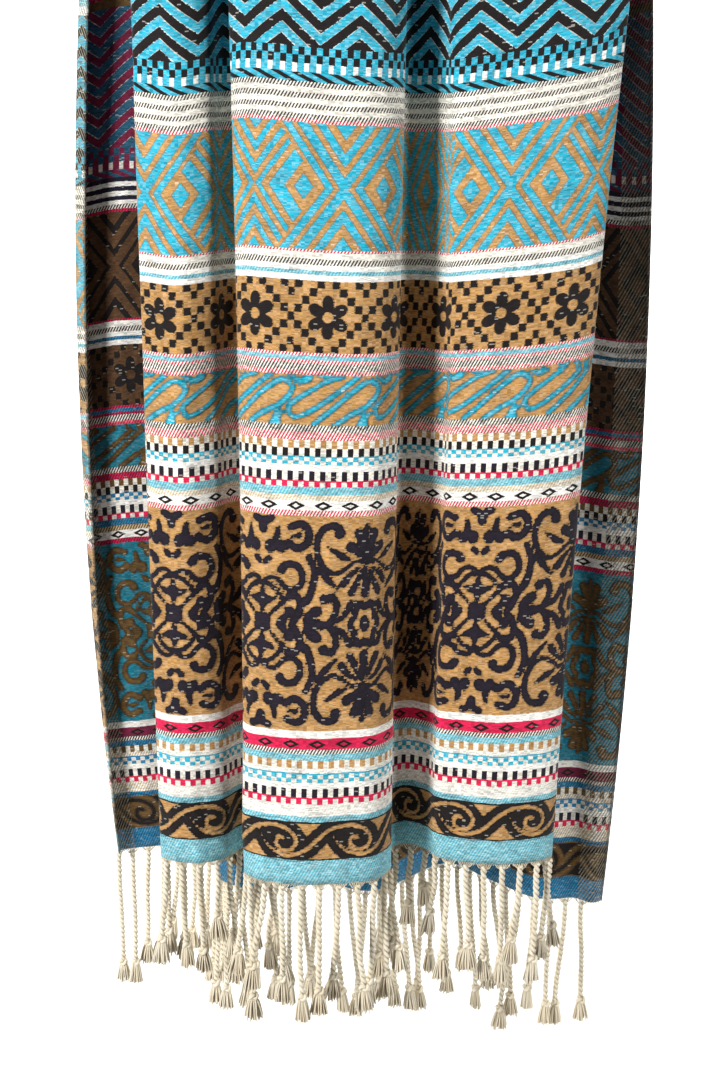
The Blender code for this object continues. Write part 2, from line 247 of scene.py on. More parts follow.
# Yarn colours
YARNS = {
    "turquoise": "#22AFCB", "aqua": "#97CFD6", "sky": "#4FB2C8", "gold": "#BF8F52", "black": "#1A1312",
    "navy": "#1E1624", "cream": "#F1EBDD", "white": "#FBF8F0", "red": "#E01E50", "rose": "#E8707F",
    "beige": "#DABF92", "grey": "#3A3638", "deep": "#1683B4", "teal": "#117A8F", "brown": "#6B4E22",
    "umber": "#5A3C22", "maroon": "#7A1C3E", "ink": "#1B1A2C", "slate": "#1B5A77",
}

# Bands of the weave from the hem up: the height of each one's top edge in millimetres, its weave, and the
# yarns of its ground and figure on the face and then on the reverse
BANDS = [
    (23.5, "twill", "aqua sky deep slate"),
    (25.0, "plain", "black black brown brown"),
    (58.8, "curves", "gold black black brown"),
    (60.4, "plain", "black black brown brown"),
    (65.7, "twill", "aqua sky deep slate"),
    (77.1, "twill", "white cream white beige"),
    (82.0, "checks", "red cream cream red"),
    (83.5, "plain", "red red red red"),
    (91.7, "checks", "cream navy ink cream"),
    (97.3, "plain", "white white white white"),
    (101.0, "checks", "turquoise cream cream deep"),
    (104.9, "checks", "cream turquoise deep cream"),
    (106.3, "plain", "turquoise turquoise deep deep"),
    (110.9, "twill", "white cream white beige"),
    (118.3, "checks", "gold cream cream brown"),
    (123.9, "twill", "aqua sky deep slate"),
    (128.5, "twill", "cream grey black cream"),
    (138.5, "diamonds", "red black maroon black"),
    (146.0, "plain", "white white white white"),
    (341.0, "curves", "gold navy teal brown"),
    (345.8, "twill", "cream red red maroon"),
    (354.3, "diamonds", "white black white black"),
    (359.6, "twill", "cream beige brown beige"),
    (366.5, "twill", "aqua sky deep slate"),
    (370.9, "checks", "red cream cream red"),
    (372.2, "plain", "red red red red"),
    (380.2, "checks", "cream navy ink cream"),
    (386.0, "plain", "white white white white"),
    (389.2, "checks", "turquoise cream cream deep"),
    (392.4, "checks", "cream turquoise deep cream"),
    (393.3, "plain", "turquoise turquoise deep deep"),
    (400.7, "checks", "black cream cream black"),
    (407.4, "checks", "cream gold brown cream"),
    (414.7, "twill", "cream red red maroon"),
    (420.5, "twill", "cream grey ink cream"),
    (463.9, "curves", "gold turquoise teal brown"),
    (467.5, "twill", "cream red red rose"),
    (473.8, "twill", "cream grey ink cream"),
    (476.7, "twill", "cream red red maroon"),
    (480.3, "twill", "aqua sky deep slate"),
    (482.8, "twill", "cream red red maroon"),
    (544.3, "rosettes", "gold black umber black"),
    (549.3, "plain", "white white white white"),
    (552.8, "twill", "aqua sky deep slate"),
    (557.3, "plain", "white white white white"),
    (562.2, "twill", "cream grey ink cream"),
    (568.0, "plain", "cream cream white white"),
    (569.8, "twill", "cream red red maroon"),
    (674.7, "lozenges", "turquoise gold umber black"),
    (677.5, "twill", "cream red red maroon"),
    (681.8, "twill", "cream grey ink cream"),
    (685.7, "plain", "cream cream white white"),
    (689.9, "twill", "cream grey ink ink"),
    (694.3, "plain", "cream cream white white"),
    (699.0, "twill", "cream grey ink ink"),
    (703.3, "plain", "cream cream white white"),
    (707.6, "twill", "cream grey ink ink"),
    (715.3, "dashes", "turquoise black maroon slate"),
    (722.4, "bars", "turquoise white maroon cream"),
    (729.1, "tiles", "turquoise black maroon slate"),
    (735.7, "tiles", "black turquoise slate maroon"),
    (868.0, "chevrons", "turquoise black maroon slate"),
    (876.0, "plain", "white white brown brown"),
    (888.0, "twill", "aqua sky red maroon"),
    (894.0, "plain", "red red white white"),
    (918.0, "twill", "gold brown deep slate"),
    (930.0, "checks", "cream navy ink cream"),
    (960.0, "twill", "aqua sky deep slate"),
    (1200.0, "twill", "cream grey ink cream"),
]
WEAVES = ["plain", "twill", "checks", "tiles", "bars", "dashes", "diamonds", "rosettes", "lozenges",
          "chevrons", "curves"]
WEAVE_STEP = 0.08
LONGEST_RUN = 0.055

WEAVE_MATCH = 0.03

# Repeats of the woven patterns, in metres. Where a place, a size or a cell has two numbers, the first is
# across the cloth and the second along it. A lean or a slope is across per along or along per across.
TWILL_PITCH = 0.0029
TWILL_LEAN = -0.55
CHECK_PITCH = 0.0095
TILE_PITCH = 0.0103
BAR_SHARE = 0.4
DASH_PITCH = 0.0170
DASH_LEAN = 2.2
DASH_SHARE = 0.45
DIAMOND_PITCH = 0.0240
DIAMOND_PLACE = 0.336
DIAMOND_SIZE = (0.0082, 0.0041)
DIAMOND_ROWS = (0.1335, 0.35005)
DIAMOND_LINE = 0.70
DIAMOND_HALF_LINE = 0.29
ROSETTE_PITCH = 0.0640
ROSETTE_PLACE = (0.3360, 0.51355)
ROSETTE_CELL = (0.0065, 0.0070)
# The two rings of steps, by their number of cells from the middle
ROSETTE_RINGS = (5.0, 8.0)
RING_MATCH = 0.1
PETAL_ANGLE = math.pi / 6
PETAL_LENGTH = 0.0188
PETAL_NOTCH = -0.034
ROSETTE_EYE = 0.0046
LOZENGE_PITCH = 0.1550
LOZENGE_PLACE = (0.3465, 0.62225)
LOZENGE_SLOPE = 1.38
# For the crossing chevrons and for the kites between them: the range in which the edges of stripes lie
LOZENGE_RANGE = (-0.045, 0.030)
LOZENGE_EDGES = [-0.0290, -0.0210, -0.0125, -0.0065, 0.0035, 0.0085, 0.0160]
KITE_RANGE = (-0.045, 0.060)
KITE_EDGES = [-0.0315, -0.025, -0.0185, -0.012, -0.0055, 0.0005, 0.0055, 0.0125, 0.0265]
KITE_FROM = 0.0205
HEART_PLACE = 0.0345
HEART_SIZE = 0.0080
CHEVRON_PITCH = 0.0660
CHEVRON_PLACE = 0.3555
CHEVRON_SLOPE = 0.82
CHEVRON_STEP = 0.0190
CHEVRON_START = 0.736
CHEVRON_SHARE = 0.52

# The cloth's threads and floats, in metres. One cell of colour takes in a few of the real threads, which
# are too fine to show. Cockles come 55 to the metre, about 18 mm each.
THREADS = (0.0032, 0.0010, 1.0)
RAGGED = (0.0014, 0.0005, 0.0)
RAGGED_CURVE = 0.0012
CURVE_EDGE = 0.0010
THREAD_SHADE = 0.55
# Painted highlight on some of the threads: how far it mixes towards white, and the chance from which it
# starts
THREAD_PAINTED_HIGHLIGHT = 0.45
PAINTED_HIGHLIGHT_FROM = 0.45
FLOAT_END = 0.60
FLOAT_TINTS = {"lozenges": "brown", "rosettes": "brown", "chevrons": "cream"}
FLECK_FROM = 0.980
FLECK = 0.35
# Painted shade beside the curved motifs' edges: the darkest shade and its width
EDGE_PAINTED_SHADE = 0.50
EDGE_PAINTED_SHADE_WIDTH = 0.0018
SELVEDGE_WIDTH = 0.030
SELVEDGE_PITCH = 0.0033
SELVEDGE_SHARE = 0.40
SELVEDGE_TINT = 0.85
SELVEDGE_EDGE = 0.0030
SELVEDGE_EDGE_TINT = 0.6
COCKLE_SCALE = 55.0
# Painted shade of the cockles: how much a cockle darkens or lightens the colour, and the darkest shade that
# it leaves
COCKLE_PAINTED_SHADE = (0.60, 0.34)
COCKLE_RELIEF = 0.0022
FLOAT_RELIEF = 0.0012
# Distances from a curved motif's edge where it starts to rise and where it has its full relief
CURVE_SLOPE = (0.0014, -0.0002)
CURVE_RELIEF = 0.0007
RIB_PITCH = 0.0008
RIB_RELIEF = 0.15
CLOTH_BUMP = 0.8

# The fringe's cotton, in metres, with noise scales in repeats to the metre
GROOVE_WIDTH = 0.004
GROOVE_CONTRAST = 1.4
PATCH_SCALE = 28.0
HAIR_SCALE = 900.0
HAIR_RELIEF = 0.0006
HAIR_BUMP = 0.4
NOISE_DETAIL = 2.0

# Curved motifs, as strokes in millimetres: (half width at the start, half width at the end, radius of
# the round end or 0), then the points that the stroke runs through
FAR_MM = 1000.0
FAR_FROM_MOTIFS = 0.01
FLORAL_PITCH = 185.0
FLORAL_PLACE = (375.5, 243.6)
# The ringed flower: its radii across and along, the size and half width of its ring, then its eye
FLOWER_RADII = (11.5, 18.0)
FLOWER_SIZE = 13.0
FLOWER_LINE = 2.7
FLOWER_PETALS = 6
FLOWER_WAVE = 0.11
FLOWER_EYE = (4.2, 7.0)
FLOWER_EYE_SIZE = 4.6
FLORAL_FROM_A = [
    # across from the palmette axis, up or down from the middle line
    (1.6, 3.6, 0.0, [(0, 51), (0, 39), (0, 27.5)]),
    (1.0, 3.2, 0.0, [(3, 50), (7.5, 39), (12.5, 29)]),
    (1.0, 3.3, 0.0, [(6, 51), (14, 45), (20, 37.5)]),
    (1.1, 3.1, 0.0, [(0, 54), (9, 57), (19, 50), (28, 46.5), (37, 52), (43, 63), (43.5, 76), (37, 87),
                     (28, 89)]),
    (3.0, 2.6, 4.6, [(28, 89), (24, 86), (24, 82)]),
    (1.0, 3.0, 0.0, [(15, 59), (22, 62)]),
    (3.0, 0.8, 0.0, [(22, 62), (34, 70)]),
    (1.2, 4.4, 0.0, [(2, 58), (8, 65), (14, 70)]),
    (1.2, 4.0, 0.0, [(1, 60), (4, 70), (7, 82)]),
    (0.9, 2.2, 0.0, [(0, 60), (0, 74), (0, 88)]),
    (1.8, 2.8, 0.0, [(42, 51), (35, 42)]),
    (2.8, 0.9, 0.0, [(35, 42), (24, 31)]),
    (2.6, 2.6, 4.4, [(33, 0), (27, 9), (25.5, 19), (30, 26), (36, 23)]),
    (2.0, 2.8, 0.0, [(30, 2), (20, 7), (12.5, 19)]),
    (2.6, 4.2, 0.0, [(33, 0), (42, 1), (50, 0)]),
    (4.2, 4.6, 4.8, [(50, 0), (49, 7), (43, 12)]),
    (2.4, 3.4, 0.0, [(51, 61), (46, 49), (47, 34), (51, 23), (57, 18)]),
]
FLORAL_FROM_B = [
    # across from the cross axis, up or down from the middle line
    (3.8, 3.8, 5.2, [(0, 0), (3, 3)]),
    (0.9, 1.9, 0.0, [(4, 4), (13, 13), (22, 22)]),
    (0.8, 5.0, 0.0, [(0, 9), (0, 17), (0, 22)]),
    (5.0, 0.7, 0.0, [(0, 20), (7, 21), (13, 23)]),
    (3.4, 1.0, 0.0, [(0, 22), (0, 33)]),
    (1.4, 2.0, 0.0, [(20, 20), (15, 28), (8, 34), (0, 36)]),
    (1.5, 3.1, 0.0, [(0, 36), (7, 41), (15, 39.5), (21, 33), (28, 31), (35, 36), (36, 45), (31, 53),
                     (24, 54)]),
    (2.8, 2.8, 4.0, [(24, 54), (19, 52), (18, 49)]),
    (4.4, 0.9, 4.6, [(18, 0), (20, 4), (26, 11)]),
    (2.7, 2.9, 3.6, [(28, 1), (34, 10), (35, 20), (30, 26.5), (25, 25)]),
    (0.9, 2.6, 0.0, [(22, 16), (25, 10), (29, 7)]),
    (4.6, 4.6, 5.4, [(7, 68), (8, 70)]),
    (4.2, 1.5, 0.0, [(17, 68), (13, 76), (14, 86)]),
    (3.0, 3.2, 3.8, [(25, 87), (35, 90), (41, 84), (40, 74), (32, 68), (24, 72)]),
    (0.8, 2.2, 0.0, [(26, 79), (33, 80)]),
    (3.6, 3.0, 0.0, [(0, 84), (2, 91), (8, 94)]),
    (2.4, 2.4, 2.8, [(3, 55), (6, 58)]),
]
SCROLL_PITCH = 68.5
SCROLL_PLACE = (373.0, 42.0)
SCROLL_HALF_LINE = 2.4
SCROLL_HALF_BAND = 3.1
# The scroll's width as a share of the full one: at its start, and how fast it grows
SCROLL_TAPER = (0.25, 4)
SCROLL_LINE = [
    (-24, 11), (-19, 2), (-12, -7), (-2, -13), (10, -14), (24, -8), (34, 2), (44, 10), (56, 13.5), (68, 13),
    (78, 8.5), (83, 0), (79, -8), (70, -9.5), (64, -4), (66, 2.5), (71.5, 2),
]
SWIRL_PITCH = 76.0
SWIRL_PLACE = (335.4, 442.2)
SWIRLS = [
    (1.8, 2.2, 0.0, [(15, 21), (0, 16), (-13, 8), (-25, 0), (-32, -7), (-28, -15), (-17, -12), (0, -1),
                     (17, 12), (29, 22)]),
    (2.1, 2.2, 0.0, [(-10, -21), (8, -6), (25, 9), (39, 17), (47, 10), (38, -3), (21, -13), (8, -22)]),
    (1.0, 3.4, 0.0, [(-32, 22), (-22, 16), (-15, 19)]),
    (1.0, 2.2, 0.0, [(-8, 22), (-2, 21), (4, 22)]),
    (0.6, 4.6, 0.0, [(-41, -6), (-42, -13), (-43, -22)]),
    (2.6, 0.8, 0.0, [(30, -21), (36, -14), (42, -10)]),
]


def smooth_curve(points):
    """Points on a smooth curve through the given ones, with tangents from each one's neighbours."""
    points = np.array(points, dtype=float)
    steps = np.sqrt(np.linalg.norm(np.diff(points, axis=0), axis=1))
    knots = np.concatenate([[0.0], np.cumsum(steps)])
    tangents = np.gradient(points, knots, axis=0)
    fine = np.linspace(0.0, knots[-1], POINTS_PER_KNOT * len(points))
    span = np.clip(np.searchsorted(knots, fine, side="right") - 1, 0, len(points) - 2)
    width = (knots[span + 1] - knots[span])[:, None]
    t = (fine - knots[span])[:, None] / width
    start = (2 * t**3 - 3 * t**2 + 1) * points[span] + (t**3 - 2 * t**2 + t) * width * tangents[span]
    end = (3 * t**2 - 2 * t**3) * points[span + 1] + (t**3 - t**2) * width * tangents[span + 1]
    return start + end


def arc_lengths(curve):
    """Length along a curve from its first point to each of its points."""
    steps = np.linalg.norm(np.diff(curve, axis=0), axis=1)
    return np.concatenate([[0.0], np.cumsum(steps)])


def fit_to_width(curve):
    """Scale the fold depths until the curve is as long as the cloth is wide."""
    shallow = 0.0
    deep = DEEPEST_FOLD_SCALE
    for _ in range(DEPTH_HALVINGS):
        middle = (shallow + deep) / 2
        if arc_lengths(curve * (1.0, middle))[-1] < CLOTH_WIDTH:
            shallow = middle
        else:
            deep = middle
    return curve * (1.0, shallow)


def even_points(curve, across):
    """Places at the given distances across the cloth, from its left selvedge."""
    lengths = arc_lengths(curve)
    places = np.asarray(across) * lengths[-1] / CLOTH_WIDTH
    return np.column_stack([np.interp(places, lengths, curve[:, axis]) for axis in (0, 1)])


def between(top, middle, hem, drop):
    """A value on the parabola through its values at the bend, halfway down and at the hem."""
    return top * (1 - drop) * (1 - 2 * drop) + middle * 4 * drop * (1 - drop) + hem * drop * (2 * drop - 1)


def fall_section(folds, drop, across):
    """The (x, out) places of one row of a fall; drop is 0 at the bend and 1 at the hem."""
    knots = [(between(x_top, x_mid, x_hem, drop), out_top + (out_hem - out_top) * drop)
             for _, x_top, x_mid, x_hem, out_top, out_hem, _ in folds]
    return even_points(fit_to_width(smooth_curve(knots)), across)


def front_row(drop, across):
    """One row of the front fall, as points in space."""
    section = fall_section(FRONT_FOLDS, drop, across)
    z = np.full(len(section), -BEND_RADIUS + (FRONT_HEM_Z + BEND_RADIUS) * drop)
    return np.column_stack([section[:, 0], -BEND_RADIUS - section[:, 1], z])


def back_row(drop, across):
    """One row of the back fall, as points in space."""
    section = fall_section(BACK_FOLDS, drop, across)
    slant = BACK_HEM_SLANT * np.asarray(across) / CLOTH_WIDTH
    z = -BEND_RADIUS + (BACK_HEM_Z - slant + BEND_RADIUS) * drop
    return np.column_stack([section[:, 0], BEND_RADIUS + section[:, 1], z])


def bend_row(turn, across):
    """One row of the bend; turn is 0 where the front fall ends and 1 where the back fall begins."""
    front = fall_section(FRONT_FOLDS, 0.0, across)
    back = fall_section(BACK_FOLDS, 0.0, across)
    blend = turn * turn * (3 - 2 * turn)
    lift = math.sin(math.pi * turn)
    section = front + (back - front) * blend
    section[:, 0] *= 1 + BEND_FLARE * lift
    section[:, 1] *= 1 - (1 - BEND_DEPTH) * lift
    radius = BEND_RADIUS + section[:, 1]
    angle = math.pi * turn
    return np.column_stack([
        section[:, 0],
        -radius * math.cos(angle),
        -BEND_RADIUS + radius * math.sin(angle),
    ])


def outward_normals(grid):
    """Unit normals of a grid, level along its first and last rows, where the cloth hangs upright."""
    lengthwise = np.gradient(grid, axis=0)
    lengthwise[0, :, :2] = 0.0
    lengthwise[-1, :, :2] = 0.0
    normals = np.cross(np.gradient(grid, axis=1), lengthwise)
    return normals / np.linalg.norm(normals, axis=2)[:, :, None]


def crease_heights(creases, u, v):
    """How far each place on the cloth is moved out by the creases, in metres."""
    total = np.zeros(np.broadcast(u, v).shape)
    for crease in creases:
        u_from, v_from, u_to, v_to = [place / 1000 for place in crease[:4]]
        half_mm, height_mm = crease[4:]
        length = math.hypot(u_to - u_from, v_to - v_from)
        along_u = (u_to - u_from) / length
        along_v = (v_to - v_from) / length
        along = ((u - u_from) * along_u + (v - v_from) * along_v) / length
        aside = (u - u_from) * along_v - (v - v_from) * along_u
        taper = np.clip(np.minimum(along, 1 - along) * CREASE_TAPER + CREASE_END, 0, 1)
        taper = taper * taper * (3 - 2 * taper)
        total += height_mm / 1000 * np.exp(-(aside * 1000 / half_mm) ** 2) * taper
    return total


def rises(folds, across, drop):
    """How much higher than level the woven bands stand at places across the cloth, in metres."""
    knots = np.array([(x_mid, (out_top + out_hem) / 2) for _, _, x_mid, _, out_top, out_hem, _ in folds])
    curve = smooth_curve(knots)
    nearest = [int(np.argmin(np.linalg.norm(curve - knot, axis=1))) for knot in knots]
    places = arc_lengths(curve)[nearest] / arc_lengths(curve)[-1] * CLOTH_WIDTH
    fine = np.linspace(0, CLOTH_WIDTH, RISE_POINTS_PER_COLUMN * COLUMNS + 1)
    level = np.interp(fine, places, [fold[-1] for fold in folds])
    window = np.hanning(RISE_SMOOTHING)
    level = np.convolve(np.pad(level, RISE_SMOOTHING // 2, "edge"), window / window.sum(), "valid")
    return np.interp(across, fine, level) * (1 - drop) ** RISE_FADE


def row_places(length):
    """Distances of a fall's mesh rows from its hem, close together only where a fine motif is woven."""
    places = [0.0]
    while places[-1] < length:
        here = places[-1]
        fine = any(low - FINE_ROW <= here < high for low, high in FINE_BANDS)
        ahead = [low - here for low, _ in FINE_BANDS if low > here]
        step = FINE_ROW if fine else min([COARSE_ROW] + ahead)
        places.append(here + step)
    places[-1] = length
    return np.array(places)


def put(name, data):
    """An object in the scene that holds the data."""
    thing = bpy.data.objects.new(name, data)
    bpy.context.scene.collection.objects.link(thing)
    return thing


def finished(builder, name):
    """The mesh that a bmesh has built."""
    mesh = bpy.data.meshes.new(name)
    builder.to_mesh(mesh)
    builder.free()
    return mesh


def woven_sheet(name, points, u, v, materials):
    """A sheet of cloth through a grid of points, face side out, with its place on the cloth as its UV map."""
    rows, columns = u.shape
    builder = bmesh.new()
    bmesh.ops.create_grid(builder, x_segments=columns - 1, y_segments=rows - 1, size=1.0)
    mesh = finished(builder, name)
    flat = np.zeros(len(mesh.vertices) * 3)
    mesh.vertices.foreach_get("co", flat)
    flat = flat.reshape(-1, 3)
    column = np.rint((flat[:, 0] + 1) / 2 * (columns - 1)).astype(int)
    row = np.rint((flat[:, 1] + 1) / 2 * (rows - 1)).astype(int)
    mesh.vertices.foreach_set("co", points[row, column].ravel())
    corner = np.zeros(len(mesh.loops), dtype=int)
    mesh.loops.foreach_get("vertex_index", corner)
    weave = mesh.uv_layers.new(name="weave")
    weave.data.foreach_set("uv", np.column_stack([u[row, column], v[row, column]])[corner].ravel())
    for label, values in (("motif", motif_depth(u, v)), ("slip", weave_slip(u, v))):
        mesh.attributes.new(label, "FLOAT", "POINT").data.foreach_set("value", values[row, column])
    for material in materials:
        mesh.materials.append(material)
    mesh.shade_smooth()
    sheet = put(name, mesh)
    wall = sheet.modifiers.new("wall", "SOLIDIFY")
    wall.thickness = WALL
    wall.offset = 0.0
    wall.material_offset = 1
    return sheet


def weave_slip(u, v):
    """How much further along the weave runs than the folds do, past each of the two valleys."""
    slip = np.zeros(u.shape)
    left_ends = np.clip((u - LEFT_SLIP_ENDS[0]) / (LEFT_SLIP_ENDS[1] - LEFT_SLIP_ENDS[0]), 0, 1)
    right_starts = np.clip((u - RIGHT_SLIP_STARTS[0]) / (RIGHT_SLIP_STARTS[1] - RIGHT_SLIP_STARTS[0]), 0, 1)
    for v_from, v_to, left, right in SLIPS:
        here = (v >= v_from) & (v < v_to)
        slip += here * (left * (1 - left_ends) + right * right_starts)
    return slip


def from_segment(x, y, start, end):
    """Distance from a straight segment, and the share of it that the nearest point lies at."""
    step = end - start
    along = np.clip(((x - start[0]) * step[0] + (y - start[1]) * step[1]) / (step @ step), 0, 1)
    return np.hypot(x - start[0] - along * step[0], y - start[1] - along * step[1]), along


def stroke_distance(x, y, stroke):
    """Distance from the edge of a smooth stroke, negative inside it."""
    start, end, blob, points = stroke
    line = smooth_curve(points) if len(points) > 2 else np.array(points, dtype=float)
    shares = arc_lengths(line) / arc_lengths(line)[-1]
    nearest = np.full(x.shape, FAR_MM)
    for i in range(len(line) - 1):
        apart, along = from_segment(x, y, line[i], line[i + 1])
        share = shares[i] + (shares[i + 1] - shares[i]) * along
        nearest = np.minimum(nearest, apart - start - (end - start) * share)
    if blob:
        nearest = np.minimum(nearest, np.hypot(x - line[-1, 0], y - line[-1, 1]) - blob)
    return nearest


def floral_depth(x, y):
    """The wide floral band: palmettes and ringed flowers on one axis, crosses on the other."""
    from_a = np.abs((x - FLORAL_PLACE[0] + FLORAL_PITCH / 2) % FLORAL_PITCH - FLORAL_PITCH / 2)
    from_b = FLORAL_PITCH / 2 - from_a
    away = np.abs(y - FLORAL_PLACE[1])
    nearest = np.full(x.shape, FAR_MM)
    for across, strokes in ((from_a, FLORAL_FROM_A), (from_b, FLORAL_FROM_B)):
        for stroke in strokes:
            nearest = np.minimum(nearest, stroke_distance(across, away, stroke))
    sideways = from_a / FLOWER_RADII[0]
    upward = away / FLOWER_RADII[1]
    petals = FLOWER_WAVE * np.cos(FLOWER_PETALS * np.arctan2(upward, sideways))
    reach = np.hypot(sideways, upward) - 1 - petals
    ring = np.abs(reach) * FLOWER_SIZE - FLOWER_LINE
    eye = (np.hypot(from_a / FLOWER_EYE[0], away / FLOWER_EYE[1]) - 1) * FLOWER_EYE_SIZE
    return np.minimum(nearest, np.minimum(ring, eye))


def scroll_depth(x, y):
    """The running scroll along the hem: a light line with a dark band on each side."""
    line = smooth_curve(SCROLL_LINE)
    shares = arc_lengths(line) / arc_lengths(line)[-1]
    across = (x - SCROLL_PLACE[0]) % SCROLL_PITCH
    up = y - SCROLL_PLACE[1]
    nearest = np.full(x.shape, FAR_MM)
    for shift in (-1, 0, 1):
        for i in range(len(line) - 1):
            apart, _ = from_segment(across + shift * SCROLL_PITCH, up, line[i], line[i + 1])
            swell = min(1.0, SCROLL_TAPER[0] + shares[i] * SCROLL_TAPER[1])
            nearest = np.minimum(nearest, apart - SCROLL_HALF_LINE * swell)
    return np.abs(nearest - SCROLL_HALF_BAND) - SCROLL_HALF_BAND


def swirl_depth(x, y):
    """The band of slanting hairpin swirls."""
    across = (x - SWIRL_PLACE[0]) % SWIRL_PITCH
    up = y - SWIRL_PLACE[1]
    nearest = np.full(x.shape, FAR_MM)
    for shift in (-2, -1, 0, 1):
        for stroke in SWIRLS:
            nearest = np.minimum(nearest, stroke_distance(across + shift * SWIRL_PITCH, up, stroke))
    return nearest


def motif_depth(u, v):
    """Distance of each place from the curved motifs' edges, in metres, negative on a figure."""
    depth = np.full(u.shape, FAR_FROM_MOTIFS)
    x = (u + weave_slip(u, v)) * 1000
    y = v * 1000
    for (low, high), shape in zip(FINE_BANDS, (scroll_depth, floral_depth, swirl_depth)):
        here = (v > low - 2 * FINE_ROW) & (v < high + 2 * FINE_ROW)
        if here.any():
            depth[here] = shape(x[here], y[here]) / 1000
    return depth


def linear(code):
    """A hex sRGB colour as linear values with full alpha."""
    values = [int(code[i:i + 2], 16) / 255 for i in (1, 3, 5)]
    return [v / 12.92 if v <= 0.04045 else ((v + 0.055) / 1.055) ** 2.4 for v in values] + [1.0]


def add(tree, kind, *sources, **settings):
    """Add a node, set it, feed its inputs in order and return its first output; capitals name a sum."""
    node = tree.nodes.new("ShaderNodeMath" if kind.isupper() else "ShaderNode" + kind)
    if kind.isupper():
        node.operation = kind
    for name, value in settings.items():
        setattr(node, name, value)
    for socket, source in zip(node.inputs, sources):
        if isinstance(source, bpy.types.NodeSocket):
            tree.links.new(source, socket)
        elif source is not None:
            socket.default_value = source
    return node.outputs[0]


def new_material(name, roughness):
    """A material with its Principled shader and node tree."""
    material = bpy.data.materials.new(name)
    material.use_nodes = True
    shader = material.node_tree.nodes["Principled BSDF"]
    shader.inputs["Roughness"].default_value = roughness
    return material, material.node_tree, shader


def strand_plans(row, usual_length, seed, special):
    """Root and tip of each fringe strand along a hem, with the tips kept clear of each other."""
    dice = random.Random(seed)
    roots = row(1.0, (np.arange(STRAND_COUNT) + 0.5) * STRAND_PITCH)
    tips = []
    for i in range(STRAND_COUNT):
        length = usual_length + dice.uniform(-1, 1) * LENGTH_SPREAD
        lean_x = dice.uniform(-1, 1) * LEAN_SPREAD
        lean_y = dice.uniform(-1, 1) * LEAN_SPREAD
        if i in special:
            lean_x, length = special[i]
        tips.append([roots[i][0] + lean_x, roots[i][1] + lean_y, roots[i][2] - length])
    tips = np.array(tips)
    for _ in range(NUDGE_ROUNDS):
        for i in range(STRAND_COUNT):
            for j in range(i):
                apart = tips[i, :2] - tips[j, :2]
                distance = max(np.linalg.norm(apart), SMALLEST_DISTANCE)
                if distance < STRAND_CLEARANCE:
                    push = apart / distance * (STRAND_CLEARANCE - distance) / 2
                    tips[i, :2] += push
                    tips[j, :2] -= push
    return roots, tips


def sway_line(root, tip, bends, shares):
    """Points on a strand's middle line at shares of its length, with a few small bends of its own."""
    sway = shares * shares * (3 - 2 * shares)
    line = root + (tip - root) * np.column_stack([sway, sway, shares])
    for reach, waves, phase, heading in bends:
        push = reach * np.sin(math.pi * shares) * np.sin(2 * math.pi * waves * shares + phase)
        line[:, 0] += push * math.cos(heading)
        line[:, 1] += push * math.sin(heading)
    return line


def add_yarn(curve, points, radii):
    """One round yarn through the points, as a spline of a curve with a bevel."""
    spline = curve.splines.new("POLY")
    spline.points.add(len(points) - 1)
    spline.points.foreach_set("co", np.column_stack([points, np.ones(len(points))]).ravel())
    spline.points.foreach_set("radius", np.broadcast_to(radii, len(points)).astype(float))


def yarn_curve(name, sides_step):
    """An empty curve whose splines become round yarns with a radius of one metre times each point's own."""
    curve = bpy.data.curves.new(name, "CURVE")
    curve.dimensions = "3D"
    curve.bevel_depth = 1.0
    curve.bevel_resolution = sides_step
    curve.use_fill_caps = True
    return curve


def twisted_cord(curve, line, start_angle):
    """Two plies twisted about a middle line."""
    lengths = arc_lengths(line)
    turns = lengths / TWIST_PITCH * 2 * math.pi
    for ply in (0, 1):
        angle = start_angle + turns + math.pi * ply
        ring = np.column_stack([np.cos(angle), np.sin(angle), np.zeros(len(angle))]) * PLY_OFFSET
        add_yarn(curve, line + ring, PLY_RADIUS)


def knot(curve, place, turn, size):
    """A small overhand knot, as one thick yarn on a three-leaved path."""
    t = np.linspace(0, 2 * math.pi, KNOT_POINTS)
    x = np.sin(t) + 2 * np.sin(2 * t)
    y = np.cos(t) - 2 * np.cos(2 * t)
    turned = np.column_stack([
        x * math.cos(turn) - y * math.sin(turn),
        x * math.sin(turn) + y * math.cos(turn),
        -1.5 * np.sin(3 * t),
    ])
    add_yarn(curve, place + turned * size, KNOT_YARN_RADIUS)


def tuft(curve, place, heading, length, spread, dice):
    """A frayed end: fibres that leave the knot together and splay as they hang."""
    for i in range(TUFT_FIBRES):
        around = 2 * math.pi * (i * GOLDEN + dice.uniform(-FIBRE_JITTER, FIBRE_JITTER))
        reach = math.sqrt((i + 0.5) / TUFT_FIBRES)
        fall = length * dice.uniform(*FIBRE_SHARES)
        curl = dice.uniform(-FIBRE_CURL, FIBRE_CURL)
        shares = np.linspace(0, 1, TUFT_POINTS)
        out = TUFT_NECK * reach + spread * reach * shares ** TUFT_BELL
        swing = around + curl * shares
        points = np.column_stack([
            place[0] + out * np.cos(swing) + heading[0] * fall * shares,
            place[1] + out * np.sin(swing) * TUFT_FLATNESS + heading[1] * fall * shares,
            place[2] - fall * shares,
        ])
        add_yarn(curve, points, FIBRE_RADIUS * (1.0 - FIBRE_TAPER * shares))


def gathered_warps(curve, row, middle, end, dice):
    """The loose warp ends between the hem and a cord's top, drawn together from both sides."""
    across = middle + np.linspace(-WARP_SPREAD, WARP_SPREAD, WARPS_PER_CORD)
    for start in row(1.0, across):
        sag = np.array([0.0, 0.0, -dice.uniform(*WARP_SAG)])
        halfway = start * WARP_MIDDLE + end * (1 - WARP_MIDDLE)
        add_yarn(curve, np.array([start + WARP_ROOT, halfway + sag, end]), WARP_RADIUS)


